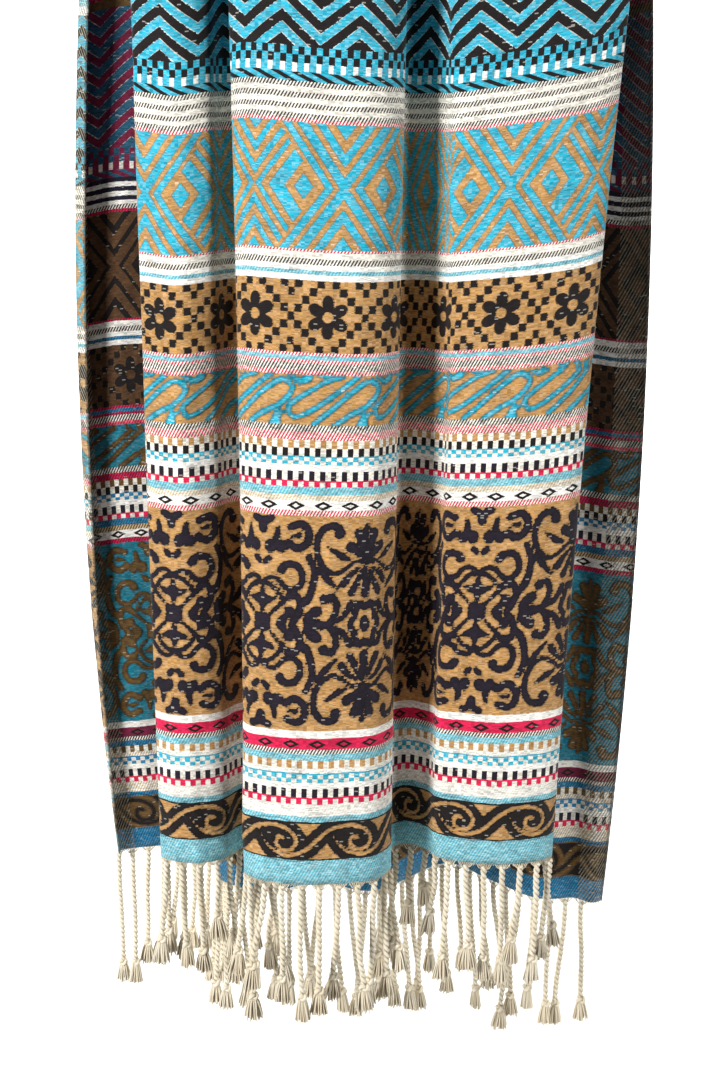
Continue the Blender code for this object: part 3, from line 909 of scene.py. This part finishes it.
def hem_fray(curve, row, dice):
    """Short stray ends all along a hem."""
    for i in range(FRAY_ENDS):
        place = CLOTH_WIDTH * (i + dice.uniform(0, 1)) / FRAY_ENDS
        start = row(1.0, np.array([place]))[0] + FRAY_ROOT
        lean = np.array([dice.uniform(-reach, reach) for reach in FRAY_LEAN] + [0.0])
        length = dice.uniform(*FRAY_LENGTHS)
        middle = start + lean * FRAY_MIDDLE[0] - (0, 0, length * FRAY_MIDDLE[1])
        add_yarn(curve, np.array([start, middle, start + lean - (0, 0, length)]), FRAY_RADII)


def fringe(name, row, usual_length, seed, special, material):
    """All the strands of one hem, each a two-ply cord with a knot and a tuft, as one mesh."""
    roots, tips = strand_plans(row, usual_length, seed, special)
    dice = random.Random(seed + 1)
    cords = yarn_curve(name + "_cords", 1)
    tufts = yarn_curve(name + "_tufts", 0)
    hem_fray(tufts, row, dice)
    for number, (root, tip) in enumerate(zip(roots, tips)):
        bends = [[dice.uniform(*span) for span in (SWAY_REACH, SWAY_WAVES, (0, FULL_TURN), (0, HALF_TURN))]
                 for _ in range(SWAY_BENDS)]
        hang = root[2] - tip[2]
        knot_share = 1 - TUFT_LENGTH / hang
        count = int(hang * knot_share / TWIST_PITCH * TWIST_STEPS)
        shares = np.linspace(0, knot_share, count)
        line = sway_line(root - (0, 0, CORD_DROP), tip, bends, shares)
        twisted_cord(cords, line, dice.uniform(0, FULL_TURN))
        gathered_warps(tufts, row, (number + 0.5) * STRAND_PITCH, line[2], dice)
        knot(cords, line[-1], dice.uniform(0, KNOT_TURN), KNOT_SIZE * dice.uniform(*KNOT_SIZES))
        heading = (line[-1] - line[-4]) / (line[-4][2] - line[-1][2])
        neck = line[-1] - (0, 0, TUFT_LAP)
        tuft(tufts, neck, heading, TUFT_LENGTH + TUFT_LAP, dice.uniform(*TUFT_SPREAD), dice)
    builder = bmesh.new()
    for curve in (cords, tufts):
        holder = put(curve.name, curve)
        bpy.context.view_layer.update()
        piece = bpy.data.meshes.new_from_object(holder)
        builder.from_mesh(piece)
        bpy.data.objects.remove(holder)
        bpy.data.meshes.remove(piece)
    bmesh.ops.recalc_face_normals(builder, faces=builder.faces)
    mesh = finished(builder, name)
    mesh.materials.append(material)
    mesh.shade_smooth()
    return put(name, mesh)


def hung_cloth(name, row, folds, creases, length, order, materials):
    """A fall of cloth, with its mesh rows from the hem up (order 1) or down to it (-1), face side out."""
    across = np.linspace(0.0, CLOTH_WIDTH, COLUMNS + 1)
    heights = row_places(length - SEAM_GAP / 2)[::order]
    grid = np.array([row(1 - height / length, across) for height in heights])
    u, v = np.meshgrid(across, heights)
    grid += outward_normals(grid) * crease_heights(creases, u, v)[:, :, None]
    v = v - rises(folds, across, 1 - v / length)
    return woven_sheet(name, grid, u, v, materials)


def bend_cloth(materials):
    """The cloth over the rail, from the front fall to the back fall."""
    across = np.linspace(0.0, CLOTH_WIDTH, COLUMNS + 1)
    seam = SEAM_GAP / 2 / (math.pi * BEND_RADIUS)
    turns = np.linspace(seam, 1 - seam, BEND_ROWS + 1)
    grid = np.array([bend_row(turn, across) for turn in turns])
    u, turn = np.meshgrid(across, turns)
    fade = np.abs(1 - 2 * turn) ** BEND_CREASE_FADE
    front = crease_heights(FRONT_CREASES, u, FRONT_LENGTH) * (turn < 0.5)
    back = crease_heights(BACK_CREASES, u, BACK_LENGTH) * (turn > 0.5)
    grid += outward_normals(grid) * ((front + back) * fade)[:, :, None]
    steps = np.linalg.norm(np.diff(grid, axis=0), axis=2)
    along = np.vstack([np.zeros(COLUMNS + 1), np.cumsum(steps, axis=0)])
    from_front = FRONT_LENGTH + along - rises(FRONT_FOLDS, across, 0 * turn)
    from_back = BACK_LENGTH + along[-1] - along - rises(BACK_FOLDS, across, 0 * turn)
    return woven_sheet("bend_cloth", grid, u, np.minimum(from_front, from_back), materials)


def studio():
    """A pale floor and backdrop, soft lights and the camera."""
    # Matt paper: no gloss, so that it takes the light evenly.
    paper, _, shader = new_material("matt white paper", 0.9)
    shader.inputs["Base Color"].default_value = linear("#F8F8F7")
    # A panel lit from inside: an even white with no shadow on it.
    lit_panel, _, shader = new_material("white panel lit from inside", 0.9)
    shader.inputs["Base Color"].default_value = linear("#FFFFFF")
    shader.inputs["Emission Color"].default_value = linear("#FFFFFF")
    shader.inputs["Emission Strength"].default_value = BACKDROP_GLOW
    standing = Matrix.Translation((0, BACKDROP_Y, FLOOR_Z)) @ Matrix.Rotation(math.pi / 2, 4, "X")
    for name, material, place in (
        ("floor", paper, Matrix.Translation((0, FLOOR_MIDDLE_Y, FLOOR_Z))),
        ("backdrop", lit_panel, standing),
    ):
        builder = bmesh.new()
        bmesh.ops.create_grid(builder, x_segments=1, y_segments=1, size=FLOOR_HALF_SIZE, matrix=place)
        surface = put(name, finished(builder, name))
        surface.data.materials.append(material)
        surface.visible_diffuse = name == "floor"

    world = bpy.data.worlds.new("studio")
    world.use_nodes = True
    world.node_tree.nodes["Background"].inputs["Color"].default_value = linear("#FFFFFF")
    world.node_tree.nodes["Background"].inputs["Strength"].default_value = WORLD_STRENGTH
    bpy.context.scene.world = world

    for name, place, aim, size, power in SOFT_LIGHTS:
        light = bpy.data.lights.new(name, "AREA")
        light.shape = "RECTANGLE"
        light.size, light.size_y = size
        light.energy = power
        lamp = put(name, light)
        lamp.location = place
        lamp.rotation_euler = (Vector(aim) - Vector(place)).to_track_quat("-Z", "Y").to_euler()

    camera = bpy.data.cameras.new("camera")
    camera.lens = CAMERA_LENS_MM
    camera.sensor_width = CAMERA_SENSOR_MM
    camera.sensor_fit = "AUTO"
    viewer = put("camera", camera)
    viewer.location = CAMERA_PLACE
    viewer.rotation_euler = (math.radians(CAMERA_TILT), 0.0, 0.0)
    bpy.context.scene.camera = viewer
    bpy.context.scene.view_settings.view_transform = "Standard"


def cotton_cord():
    """Undyed plied cotton: soft and matt, with painted shade in the grooves between the plies, and browner in
    patches.
    """
    material, tree, shader = new_material("plied undyed cotton", 0.85)
    shader.inputs["Specular IOR Level"].default_value = 0.2
    shader.inputs["Sheen Weight"].default_value = 0.15
    place = add(tree, "TexCoord").node.outputs["Object"]
    # Painted shade: the cream darkens towards brown in the grooves between the plies, where ambient occlusion
    # finds them.
    painted_groove_shade = add(tree, "AmbientOcclusion", None, GROOVE_WIDTH, samples=4, inside=False).node.outputs["AO"]
    depth = add(tree, "POWER", painted_groove_shade, GROOVE_CONTRAST)
    colour = add(tree, "MixRGB", depth, linear("#A8946E"), linear("#FBF6E8"))
    # In patches of about 36 mm, no two cords have quite the same cream.
    patch = add(tree, "TexNoise", place, None, PATCH_SCALE, NOISE_DETAIL)
    tint = add(tree, "MixRGB", patch, linear("#E0D5BE"), linear("#FFFFFF"))
    colour = add(tree, "MixRGB", 1.0, colour, tint, blend_type="MULTIPLY")
    tree.links.new(colour, shader.inputs["Base Color"])
    # The fibres are drawn about 1 mm across, coarser than real ones, so that they show.
    hairs = add(tree, "TexNoise", place, None, HAIR_SCALE, NOISE_DETAIL)
    bump = add(tree, "Bump", HAIR_BUMP, HAIR_RELIEF, None, hairs)
    tree.links.new(bump, shader.inputs["Normal"])
    return material


def band_groups():
    """The bands in short runs, because a ramp only has 256 places."""
    groups = []
    start = 0.0
    rows = []
    for row in BANDS:
        rows.append(row)
        if row[0] / 1000 - start > LONGEST_RUN:
            groups.append((start, row[0] / 1000, rows))
            start = row[0] / 1000
            rows = []
    return groups


def band_colours(tree, height, column):
    """The colour of each band at a height, and its weave's number times WEAVE_STEP as alpha."""
    colour = None
    for start, end, rows in band_groups():
        share = add(tree, "MapRange", height, start, end, 0.0, 1.0)
        made = add(tree, "ValToRGB", share)
        stops = made.node.color_ramp
        stops.interpolation = "CONSTANT"
        stops.elements.remove(stops.elements[-1])
        place = 0.0
        for top, weave, yarns in rows:
            stop = stops.elements.new(place) if place else stops.elements[0]
            stop.color = linear(YARNS[yarns.split()[column]])[:3] + [WEAVES.index(weave) * WEAVE_STEP]
            place = (top / 1000 - start) / (end - start)
        if colour is None:
            colour = made
            alpha = made.node.outputs["Alpha"]
        else:
            above = add(tree, "GREATER_THAN", height, start)
            colour = add(tree, "MixRGB", above, colour, made)
            change = add(tree, "SUBTRACT", made.node.outputs["Alpha"], alpha)
            alpha = add(tree, "MULTIPLY_ADD", change, above, alpha)
    return colour, alpha


def repeat(tree, place, start, pitch, share):
    """1 in the first share of each repeat of the pitch and 0 in the rest."""
    repeats = add(tree, "MULTIPLY", add(tree, "SUBTRACT", place, start), 1 / pitch)
    return add(tree, "LESS_THAN", add(tree, "FRACT", repeats), share)


def away_from(tree, place, middle):
    """Distance from the middle, on either side."""
    return add(tree, "ABSOLUTE", add(tree, "SUBTRACT", place, middle))


def mirrored(tree, place, start, pitch):
    """Distance from the nearest repeat's middle."""
    return add(tree, "PINGPONG", add(tree, "SUBTRACT", place, start), pitch / 2)


def diamond_weave(tree, u, v):
    """Small hollow diamonds in a row."""
    away = add(tree, "MINIMUM", *[away_from(tree, v, row) for row in DIAMOND_ROWS])
    across = add(tree, "MULTIPLY", mirrored(tree, u, DIAMOND_PLACE, DIAMOND_PITCH), 1 / DIAMOND_SIZE[0])
    reach = add(tree, "MULTIPLY_ADD", away, 1 / DIAMOND_SIZE[1], across)
    return add(tree, "COMPARE", reach, DIAMOND_LINE, DIAMOND_HALF_LINE)


def rosette_weave(tree, u, v):
    """Six-petalled rosettes, each in a ring of steps with a broken outer ring."""
    across = mirrored(tree, u, ROSETTE_PLACE[0], ROSETTE_PITCH)
    away = away_from(tree, v, ROSETTE_PLACE[1])
    cells = [add(tree, "ROUND", add(tree, "MULTIPLY", distance, 1 / cell))
             for distance, cell in zip((across, away), ROSETTE_CELL)]
    steps = add(tree, "ADD", *cells)
    rings = add(tree, "MAXIMUM", *[add(tree, "COMPARE", steps, ring, RING_MATCH) for ring in ROSETTE_RINGS])
    turn = add(tree, "ARCTAN2", away, across)
    between = add(tree, "PINGPONG", add(tree, "SUBTRACT", turn, PETAL_ANGLE), PETAL_ANGLE)
    square = add(tree, "MULTIPLY_ADD", away, away, add(tree, "MULTIPLY", across, across))
    reach = add(tree, "SQRT", square)
    petal = add(tree, "MULTIPLY_ADD", add(tree, "MULTIPLY", between, between), PETAL_NOTCH, PETAL_LENGTH)
    inside = add(tree, "LESS_THAN", reach, petal)
    star = add(tree, "MULTIPLY", inside, add(tree, "GREATER_THAN", reach, ROSETTE_EYE))
    return add(tree, "MAXIMUM", rings, star)


def stripes(tree, place, low, high, edges):
    """A ramp over a range that changes between figure and ground at each of the edges."""
    share = add(tree, "MULTIPLY", add(tree, "SUBTRACT", place, low), 1 / (high - low))
    made = add(tree, "ValToRGB", share)
    stops = made.node.color_ramp
    stops.interpolation = "CONSTANT"
    stops.elements[0].color = (0, 0, 0, 1)
    stops.elements.remove(stops.elements[-1])
    for number, edge in enumerate(edges):
        tone = 1 - number % 2
        stop = stops.elements.new((edge - low) / (high - low))
        stop.color = (tone, tone, tone, 1)
    return made


def lozenge_weave(tree, u, v):
    """Nested chevrons that cross, with a small diamond inside a kite between each two crossings."""
    across = mirrored(tree, u, LOZENGE_PLACE[0], LOZENGE_PITCH)
    away = away_from(tree, v, LOZENGE_PLACE[1])
    near = add(tree, "MULTIPLY_ADD", away, -1 / LOZENGE_SLOPE, across)
    both = add(tree, "MULTIPLY_ADD", away, 1 / LOZENGE_SLOPE, across)
    far = add(tree, "SUBTRACT", LOZENGE_PITCH / 2, both)
    main = stripes(tree, near, *LOZENGE_RANGE, LOZENGE_EDGES)
    other = stripes(tree, far, *KITE_RANGE, KITE_EDGES)
    off = away_from(tree, across, HEART_PLACE)
    heart = add(tree, "MULTIPLY_ADD", away, 1 / LOZENGE_SLOPE, off)
    kite = add(tree, "MULTIPLY", other, add(tree, "GREATER_THAN", heart, HEART_SIZE))
    beyond = add(tree, "GREATER_THAN", near, KITE_FROM)
    rest = add(tree, "MULTIPLY", main, add(tree, "SUBTRACT", 1.0, beyond))
    return add(tree, "MULTIPLY_ADD", kite, beyond, rest)


def chevron_weave(tree, u, v):
    """Zigzag lines."""
    across = mirrored(tree, u, CHEVRON_PLACE, CHEVRON_PITCH)
    height = add(tree, "MULTIPLY_ADD", across, CHEVRON_SLOPE, v)
    return repeat(tree, height, CHEVRON_START, CHEVRON_STEP, CHEVRON_SHARE)


LARGE_WEAVES = {"rosettes": rosette_weave, "lozenges": lozenge_weave, "chevrons": chevron_weave}


def woven_here(tree, kind, weave):
    """1 where the bands have this weave."""
    return add(tree, "COMPARE", kind, WEAVES.index(weave) * WEAVE_STEP, WEAVE_MATCH)


def float_ends(tree, colour, kind, masks, firm_u, firm_v):
    """The ends of floats in a third colour, where a large motif's ragged edge and its firm one differ."""
    for weave, tint in FLOAT_TINTS.items():
        firm = LARGE_WEAVES[weave](tree, firm_u, firm_v)
        crossed = add(tree, "ABSOLUTE", add(tree, "SUBTRACT", masks[weave], firm))
        frayed = add(tree, "MULTIPLY", crossed, woven_here(tree, kind, weave))
        frayed = add(tree, "MULTIPLY", frayed, FLOAT_END)
        colour = add(tree, "MixRGB", frayed, colour, linear(YARNS[tint]))
    return colour


def bound_selvedges(tree, colour, u, lean):
    """The selvedges, bound by pale slanting stitches and dark along the very edge."""
    from_middle = away_from(tree, u, CLOTH_WIDTH / 2)
    selvedge = add(tree, "GREATER_THAN", from_middle, CLOTH_WIDTH / 2 - SELVEDGE_WIDTH)
    bound = add(tree, "MULTIPLY", selvedge, repeat(tree, lean, 0.0, SELVEDGE_PITCH, SELVEDGE_SHARE))
    colour = add(tree, "MixRGB", add(tree, "MULTIPLY", bound, SELVEDGE_TINT), colour, linear("#9A937F"))
    edge = add(tree, "GREATER_THAN", from_middle, CLOTH_WIDTH / 2 - SELVEDGE_EDGE)
    return add(tree, "MixRGB", add(tree, "MULTIPLY", edge, SELVEDGE_EDGE_TINT), colour, linear("#3A342C"))


def thread_tones_and_painted_light(tree, colour, cockle, chance, jumps):
    """Single threads of random lighter or darker tone, painted shade and light on the cockles, and a painted
    highlight on some of the light threads.
    """
    # Painted shade: the colour is darker in the cockles' hollows and lighter on their tops, over a random
    # tone for each thread.
    shade = add(tree, "MULTIPLY_ADD", chance, THREAD_SHADE, add(tree, "MULTIPLY_ADD", cockle, *COCKLE_PAINTED_SHADE))
    colour = add(tree, "MixRGB", 1.0, colour, shade, blend_type="MULTIPLY")
    other_chance = add(tree, "SeparateXYZ", jumps).node.outputs[2]
    lightness = add(tree, "SeparateXYZ", colour).node.outputs[1]
    # Painted highlight: some threads mix towards white, more strongly on light colours.
    painted_highlight = add(tree, "MapRange", other_chance, PAINTED_HIGHLIGHT_FROM, 1.0, 0.0, THREAD_PAINTED_HIGHLIGHT)
    return add(tree, "MixRGB", add(tree, "MULTIPLY", painted_highlight, lightness), colour, linear(YARNS["white"]))


def painted_motif_edge_shade_and_flecks(tree, colour, curves, chance, figured):
    """Painted shade beside the edges of the curved motifs, and scattered cream flecks on all the figures."""
    # Painted shade: the colour darkens on both sides of a curved motif's edge.
    painted_edge_shade = add(tree, "MapRange", add(tree, "ABSOLUTE", curves), 0.0, EDGE_PAINTED_SHADE_WIDTH, EDGE_PAINTED_SHADE, 1.0)
    colour = add(tree, "MixRGB", 1.0, colour, painted_edge_shade, blend_type="MULTIPLY")
    fleck = add(tree, "MULTIPLY", add(tree, "GREATER_THAN", chance, FLECK_FROM), figured)
    return add(tree, "MixRGB", add(tree, "MULTIPLY", fleck, FLECK), colour, linear(YARNS["cream"]))


def woven_relief(tree, v, cockle, figured, curves):
    """Fine weft ribs, shallow cockles and figures that stand up from the ground, as a bump."""
    rib = add(tree, "MULTIPLY", add(tree, "PINGPONG", v, RIB_PITCH), RIB_RELIEF)
    height = add(tree, "MULTIPLY_ADD", cockle, COCKLE_RELIEF, rib)
    height = add(tree, "MULTIPLY_ADD", figured, FLOAT_RELIEF, height)
    raised = add(tree, "MapRange", curves, *CURVE_SLOPE, 0.0, CURVE_RELIEF)
    return add(tree, "Bump", CLOTH_BUMP, 1.0, None, add(tree, "ADD", height, raised))


def woven_cloth(name, ground_column, figure_column):
    """Jacquard cloth of stranded cotton: flat bands in two colours each, with ragged float edges."""
    # Cotton yarn is matt, with a faint bloom from its fibres where the cloth turns away.
    material, tree, shader = new_material(name, 0.85)
    shader.inputs["Specular IOR Level"].default_value = 0.25
    shader.inputs["Sheen Weight"].default_value = 0.12
    shader.inputs["Sheen Roughness"].default_value = 0.5
    place = add(tree, "UVMap", uv_map="weave")
    plain_u, plain_v = add(tree, "SeparateXYZ", place).node.outputs[:2]
    slip = add(tree, "Attribute", attribute_name="slip").node.outputs["Fac"]
    curves = add(tree, "Attribute", attribute_name="motif").node.outputs["Fac"]

    # Each float begins and ends a little early or late, so that the motifs have ragged edges.
    thread = add(tree, "VectorMath", place, THREADS, operation="SNAP")
    chance = add(tree, "TexWhiteNoise", thread, noise_dimensions="2D")
    jumps = chance.node.outputs["Color"]
    ragged = add(tree, "VectorMath", jumps, RAGGED, place, operation="MULTIPLY_ADD")
    u, v = add(tree, "SeparateXYZ", ragged).node.outputs[:2]
    motif_u = add(tree, "ADD", u, slip)
    ragged_curves = add(tree, "MULTIPLY_ADD", chance, RAGGED_CURVE, curves)

    lean = add(tree, "MULTIPLY_ADD", plain_v, TWILL_LEAN, plain_u)
    back_lean = add(tree, "MULTIPLY_ADD", plain_v, DASH_LEAN, plain_u)
    masks = {
        "twill": repeat(tree, lean, 0.0, TWILL_PITCH, 0.5),
        "checks": repeat(tree, plain_u, 0.0, CHECK_PITCH, 0.5),
        "tiles": repeat(tree, plain_u, 0.0, TILE_PITCH, 0.5),
        "bars": repeat(tree, plain_u, 0.0, TILE_PITCH, BAR_SHARE),
        "dashes": repeat(tree, back_lean, 0.0, DASH_PITCH, DASH_SHARE),
        "diamonds": diamond_weave(tree, plain_u, v),
        **{weave: draw(tree, motif_u, v) for weave, draw in LARGE_WEAVES.items()},
        "curves": add(tree, "LESS_THAN", ragged_curves, CURVE_EDGE),
    }
    ground, kind = band_colours(tree, v, ground_column)
    figure, _ = band_colours(tree, v, figure_column)
    figured = 0.0
    for weave, mask in masks.items():
        figured = add(tree, "MULTIPLY_ADD", woven_here(tree, kind, weave), mask, figured)

    cockle = add(tree, "TexNoise", place, None, COCKLE_SCALE, NOISE_DETAIL, noise_dimensions="2D")
    colour = add(tree, "MixRGB", figured, ground, figure)
    colour = float_ends(tree, colour, kind, masks, add(tree, "ADD", plain_u, slip), plain_v)
    colour = bound_selvedges(tree, colour, u, lean)
    colour = thread_tones_and_painted_light(tree, colour, cockle, chance, jumps)
    colour = painted_motif_edge_shade_and_flecks(tree, colour, curves, chance, figured)
    tree.links.new(colour, shader.inputs["Base Color"])
    tree.links.new(woven_relief(tree, v, cockle, figured, curves), shader.inputs["Normal"])
    return material


studio()
cloth = [woven_cloth("jacquard cotton, face", 0, 1), woven_cloth("jacquard cotton, reverse", 2, 3)]
yarn = cotton_cord()
front = hung_cloth("front_cloth", front_row, FRONT_FOLDS, FRONT_CREASES, FRONT_LENGTH, 1, cloth)
bend = bend_cloth(cloth)
back = hung_cloth("back_cloth", back_row, BACK_FOLDS, BACK_CREASES, BACK_LENGTH, -1, cloth)
front_strands = fringe("front_strands", front_row, FRONT_STRAND_LENGTH, FRONT_SEED, FRONT_STRANDS, yarn)
back_strands = fringe("back_strands", back_row, BACK_STRAND_LENGTH, BACK_SEED, BACK_STRANDS, yarn)

for piece, node, slot in (
    (front, "front_fall", "cloth"),
    (bend, "top_bend", "cloth"),
    (back, "back_fall", "cloth"),
    (front_strands, "front_fringe", "fringe"),
    (back_strands, "back_fringe", "fringe"),
):
    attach(piece, "root")
    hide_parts(node)
